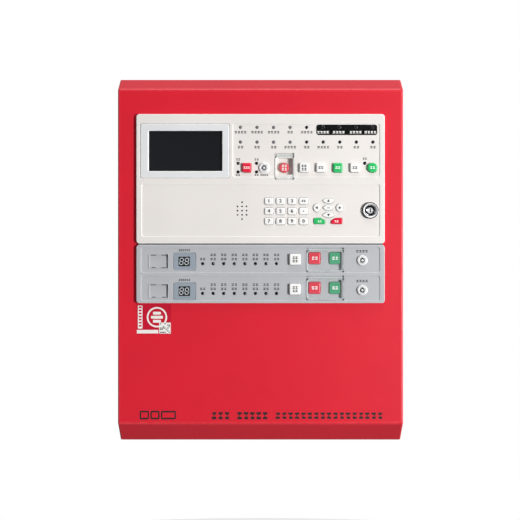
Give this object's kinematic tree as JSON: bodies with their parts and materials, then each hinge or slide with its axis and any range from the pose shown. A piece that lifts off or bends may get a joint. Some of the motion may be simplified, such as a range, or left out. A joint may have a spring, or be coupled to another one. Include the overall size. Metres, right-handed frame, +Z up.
{
  "type": "fire alarm control panel",
  "caption": "Wall-hung steel cabinet with a hinged, bevelled front door carrying a display, keypad, guarded release buttons, key switches and a cam lock; boards and batteries inside.",
  "frame": {"origin": "centre of the cabinet's back, on the wall face", "axes": "+Z up, +X to the right of a person facing the panel, and the front faces -Y"},
  "size_m": [0.384, 0.1387, 0.4888],
  "materials": {
    "red_paint": "semi-gloss powder coat",
    "ivory_plastic": "satin, very fine texture",
    "bezel_plastic": "satin",
    "grey_plastic": "satin",
    "display_glass": "gloss",
    "white_cap": "satin",
    "red_cap": "semi-gloss",
    "green_cap": "semi-gloss",
    "clear_cover": "clear gloss",
    "bright_metal": "polished",
    "zinc_steel": "zinc plated",
    "circuit_board": "solder mask",
    "terminal_plastic": "moulded",
    "battery_case": "moulded"
  },
  "bodies": {
    "cabinet": {"back_box": "red_paint", "upper_hinge_pin": "zinc_steel", "lower_hinge_pin": "zinc_steel", "gear_plate": "zinc_steel", "main_board": "circuit_board", "terminal_strip": "terminal_plastic", "power_supply": "zinc_steel", "battery_left": "battery_case", "battery_right": "battery_case", "battery_strap": "zinc_steel"},
    "door": {"door_panel": "red_paint", "main_fascia": "ivory_plastic", "zone_fascia": "grey_plastic", "display_bezel": "bezel_plastic", "display_window": "display_glass", "display_module": "zinc_steel", "key_board": "circuit_board", "zone_board": "circuit_board", "speaker": "zinc_steel", "lock_body": "bright_metal"},
    "lock": {"lock_plug": "bright_metal", "lock_cam": "zinc_steel"},
    "mute_button_red": {"mute_button_red": "red_cap"},
    "guarded_button_red": {"guarded_button_red": "red_cap"},
    "row_button_white_1": {"row_button_white_1": "white_cap"},
    "row_button_white_2": {"row_button_white_2": "white_cap"},
    "row_button_green": {"row_button_green": "green_cap"},
    "row_button_white_3": {"row_button_white_3": "white_cap"},
    "round_button_green": {"round_button_green": "green_cap"},
    "key_1": {"key_1": "white_cap"},
    "key_2": {"key_2": "white_cap"},
    "key_3": {"key_3": "white_cap"},
    "key_page": {"key_page": "white_cap"},
    "key_4": {"key_4": "white_cap"},
    "key_5": {"key_5": "white_cap"},
    "key_6": {"key_6": "white_cap"},
    "key_point": {"key_point": "white_cap"},
    "key_7": {"key_7": "white_cap"},
    "key_8": {"key_8": "white_cap"},
    "key_9": {"key_9": "white_cap"},
    "key_0": {"key_0": "white_cap"},
    "nav_up": {"nav_up": "white_cap"},
    "nav_centre": {"nav_centre": "white_cap"},
    "nav_down": {"nav_down": "white_cap"},
    "nav_left": {"nav_left": "white_cap"},
    "nav_right": {"nav_right": "white_cap"},
    "confirm_key": {"confirm_key": "green_cap"},
    "cancel_key": {"cancel_key": "red_cap"},
    "main_cover": {"main_cover": "clear_cover"},
    "main_switch_plug": {"main_switch_plug": "bright_metal"},
    "zone_1_silence": {"zone_1_silence": "white_cap"},
    "zone_1_start": {"zone_1_start": "red_cap"},
    "zone_1_stop": {"zone_1_stop": "green_cap"},
    "zone_1_cover": {"zone_1_cover": "clear_cover"},
    "zone_1_switch_plug": {"zone_1_switch_plug": "bright_metal"},
    "zone_2_silence": {"zone_2_silence": "white_cap"},
    "zone_2_start": {"zone_2_start": "red_cap"},
    "zone_2_stop": {"zone_2_stop": "green_cap"},
    "zone_2_cover": {"zone_2_cover": "clear_cover"},
    "zone_2_switch_plug": {"zone_2_switch_plug": "bright_metal"}
  },
  "joints": [
    {"name": "door_hinge", "type": "hinge", "parent": "cabinet", "child": "door", "pos_m": [-0.1895, -0.091, 0], "axis": [0, 0, -1], "range_deg": [0, 110]},
    {"name": "lock_turn", "type": "hinge", "parent": "door", "child": "lock", "pos_m": [0.1457, -0.132, 0.0658], "axis": [0, -1, 0], "range_deg": [0, 90]},
    {"name": "mute_button_red_press", "type": "slide", "parent": "door", "child": "mute_button_red", "axis": [0, 1, 0], "range_m": [0, 0.0015], "stiffness_N_per_m": 400},
    {"name": "guarded_button_red_press", "type": "slide", "parent": "door", "child": "guarded_button_red", "axis": [0, 1, 0], "range_m": [0, 0.0015], "stiffness_N_per_m": 400},
    {"name": "row_button_white_1_press", "type": "slide", "parent": "door", "child": "row_button_white_1", "axis": [0, 1, 0], "range_m": [0, 0.0015], "stiffness_N_per_m": 400},
    {"name": "row_button_white_2_press", "type": "slide", "parent": "door", "child": "row_button_white_2", "axis": [0, 1, 0], "range_m": [0, 0.0015], "stiffness_N_per_m": 400},
    {"name": "row_button_green_press", "type": "slide", "parent": "door", "child": "row_button_green", "axis": [0, 1, 0], "range_m": [0, 0.0015], "stiffness_N_per_m": 400},
    {"name": "row_button_white_3_press", "type": "slide", "parent": "door", "child": "row_button_white_3", "axis": [0, 1, 0], "range_m": [0, 0.0015], "stiffness_N_per_m": 400},
    {"name": "round_button_green_press", "type": "slide", "parent": "door", "child": "round_button_green", "axis": [0, 1, 0], "range_m": [0, 0.0015], "stiffness_N_per_m": 400},
    {"name": "key_1_press", "type": "slide", "parent": "door", "child": "key_1", "axis": [0, 1, 0], "range_m": [0, 0.0012], "stiffness_N_per_m": 400},
    {"name": "key_2_press", "type": "slide", "parent": "door", "child": "key_2", "axis": [0, 1, 0], "range_m": [0, 0.0012], "stiffness_N_per_m": 400},
    {"name": "key_3_press", "type": "slide", "parent": "door", "child": "key_3", "axis": [0, 1, 0], "range_m": [0, 0.0012], "stiffness_N_per_m": 400},
    {"name": "key_page_press", "type": "slide", "parent": "door", "child": "key_page", "axis": [0, 1, 0], "range_m": [0, 0.0012], "stiffness_N_per_m": 400},
    {"name": "key_4_press", "type": "slide", "parent": "door", "child": "key_4", "axis": [0, 1, 0], "range_m": [0, 0.0012], "stiffness_N_per_m": 400},
    {"name": "key_5_press", "type": "slide", "parent": "door", "child": "key_5", "axis": [0, 1, 0], "range_m": [0, 0.0012], "stiffness_N_per_m": 400},
    {"name": "key_6_press", "type": "slide", "parent": "door", "child": "key_6", "axis": [0, 1, 0], "range_m": [0, 0.0012], "stiffness_N_per_m": 400},
    {"name": "key_point_press", "type": "slide", "parent": "door", "child": "key_point", "axis": [0, 1, 0], "range_m": [0, 0.0012], "stiffness_N_per_m": 400},
    {"name": "key_7_press", "type": "slide", "parent": "door", "child": "key_7", "axis": [0, 1, 0], "range_m": [0, 0.0012], "stiffness_N_per_m": 400},
    {"name": "key_8_press", "type": "slide", "parent": "door", "child": "key_8", "axis": [0, 1, 0], "range_m": [0, 0.0012], "stiffness_N_per_m": 400},
    {"name": "key_9_press", "type": "slide", "parent": "door", "child": "key_9", "axis": [0, 1, 0], "range_m": [0, 0.0012], "stiffness_N_per_m": 400},
    {"name": "key_0_press", "type": "slide", "parent": "door", "child": "key_0", "axis": [0, 1, 0], "range_m": [0, 0.0012], "stiffness_N_per_m": 400},
    {"name": "nav_up_press", "type": "slide", "parent": "door", "child": "nav_up", "axis": [0, 1, 0], "range_m": [0, 0.0012], "stiffness_N_per_m": 400},
    {"name": "nav_centre_press", "type": "slide", "parent": "door", "child": "nav_centre", "axis": [0, 1, 0], "range_m": [0, 0.0012], "stiffness_N_per_m": 400},
    {"name": "nav_down_press", "type": "slide", "parent": "door", "child": "nav_down", "axis": [0, 1, 0], "range_m": [0, 0.0012], "stiffness_N_per_m": 400},
    {"name": "nav_left_press", "type": "slide", "parent": "door", "child": "nav_left", "axis": [0, 1, 0], "range_m": [0, 0.0012], "stiffness_N_per_m": 400},
    {"name": "nav_right_press", "type": "slide", "parent": "door", "child": "nav_right", "axis": [0, 1, 0], "range_m": [0, 0.0012], "stiffness_N_per_m": 400},
    {"name": "confirm_key_press", "type": "slide", "parent": "door", "child": "confirm_key", "axis": [0, 1, 0], "range_m": [0, 0.0012], "stiffness_N_per_m": 400},
    {"name": "cancel_key_press", "type": "slide", "parent": "door", "child": "cancel_key", "axis": [0, 1, 0], "range_m": [0, 0.0012], "stiffness_N_per_m": 400},
    {"name": "main_cover_lift", "type": "hinge", "parent": "door", "child": "main_cover", "pos_m": [0, -0.1345, 0.1395], "axis": [-1, 0, 0], "range_deg": [0, 110]},
    {"name": "main_switch_plug_turn", "type": "hinge", "parent": "door", "child": "main_switch_plug", "pos_m": [0.0047, -0.132, 0.1225], "axis": [0, 1, 0], "range_deg": [0, 90]},
    {"name": "zone_1_silence_press", "type": "slide", "parent": "door", "child": "zone_1_silence", "axis": [0, 1, 0], "range_m": [0, 0.0015], "stiffness_N_per_m": 400},
    {"name": "zone_1_start_press", "type": "slide", "parent": "door", "child": "zone_1_start", "axis": [0, 1, 0], "range_m": [0, 0.0015], "stiffness_N_per_m": 400},
    {"name": "zone_1_stop_press", "type": "slide", "parent": "door", "child": "zone_1_stop", "axis": [0, 1, 0], "range_m": [0, 0.0015], "stiffness_N_per_m": 400},
    {"name": "zone_1_cover_lift", "type": "hinge", "parent": "door", "child": "zone_1_cover", "pos_m": [0, -0.1345, 0.0138], "axis": [-1, 0, 0], "range_deg": [0, 110]},
    {"name": "zone_1_switch_plug_turn", "type": "hinge", "parent": "door", "child": "zone_1_switch_plug", "pos_m": [0.1352, -0.132, -0.0005], "axis": [0, 1, 0], "range_deg": [0, 90]},
    {"name": "zone_2_silence_press", "type": "slide", "parent": "door", "child": "zone_2_silence", "axis": [0, 1, 0], "range_m": [0, 0.0015], "stiffness_N_per_m": 400},
    {"name": "zone_2_start_press", "type": "slide", "parent": "door", "child": "zone_2_start", "axis": [0, 1, 0], "range_m": [0, 0.0015], "stiffness_N_per_m": 400},
    {"name": "zone_2_stop_press", "type": "slide", "parent": "door", "child": "zone_2_stop", "axis": [0, 1, 0], "range_m": [0, 0.0015], "stiffness_N_per_m": 400},
    {"name": "zone_2_cover_lift", "type": "hinge", "parent": "door", "child": "zone_2_cover", "pos_m": [0, -0.1345, -0.0235], "axis": [-1, 0, 0], "range_deg": [0, 110]},
    {"name": "zone_2_switch_plug_turn", "type": "hinge", "parent": "door", "child": "zone_2_switch_plug", "pos_m": [0.1352, -0.132, -0.04], "axis": [0, 1, 0], "range_deg": [0, 90]}
  ]
}
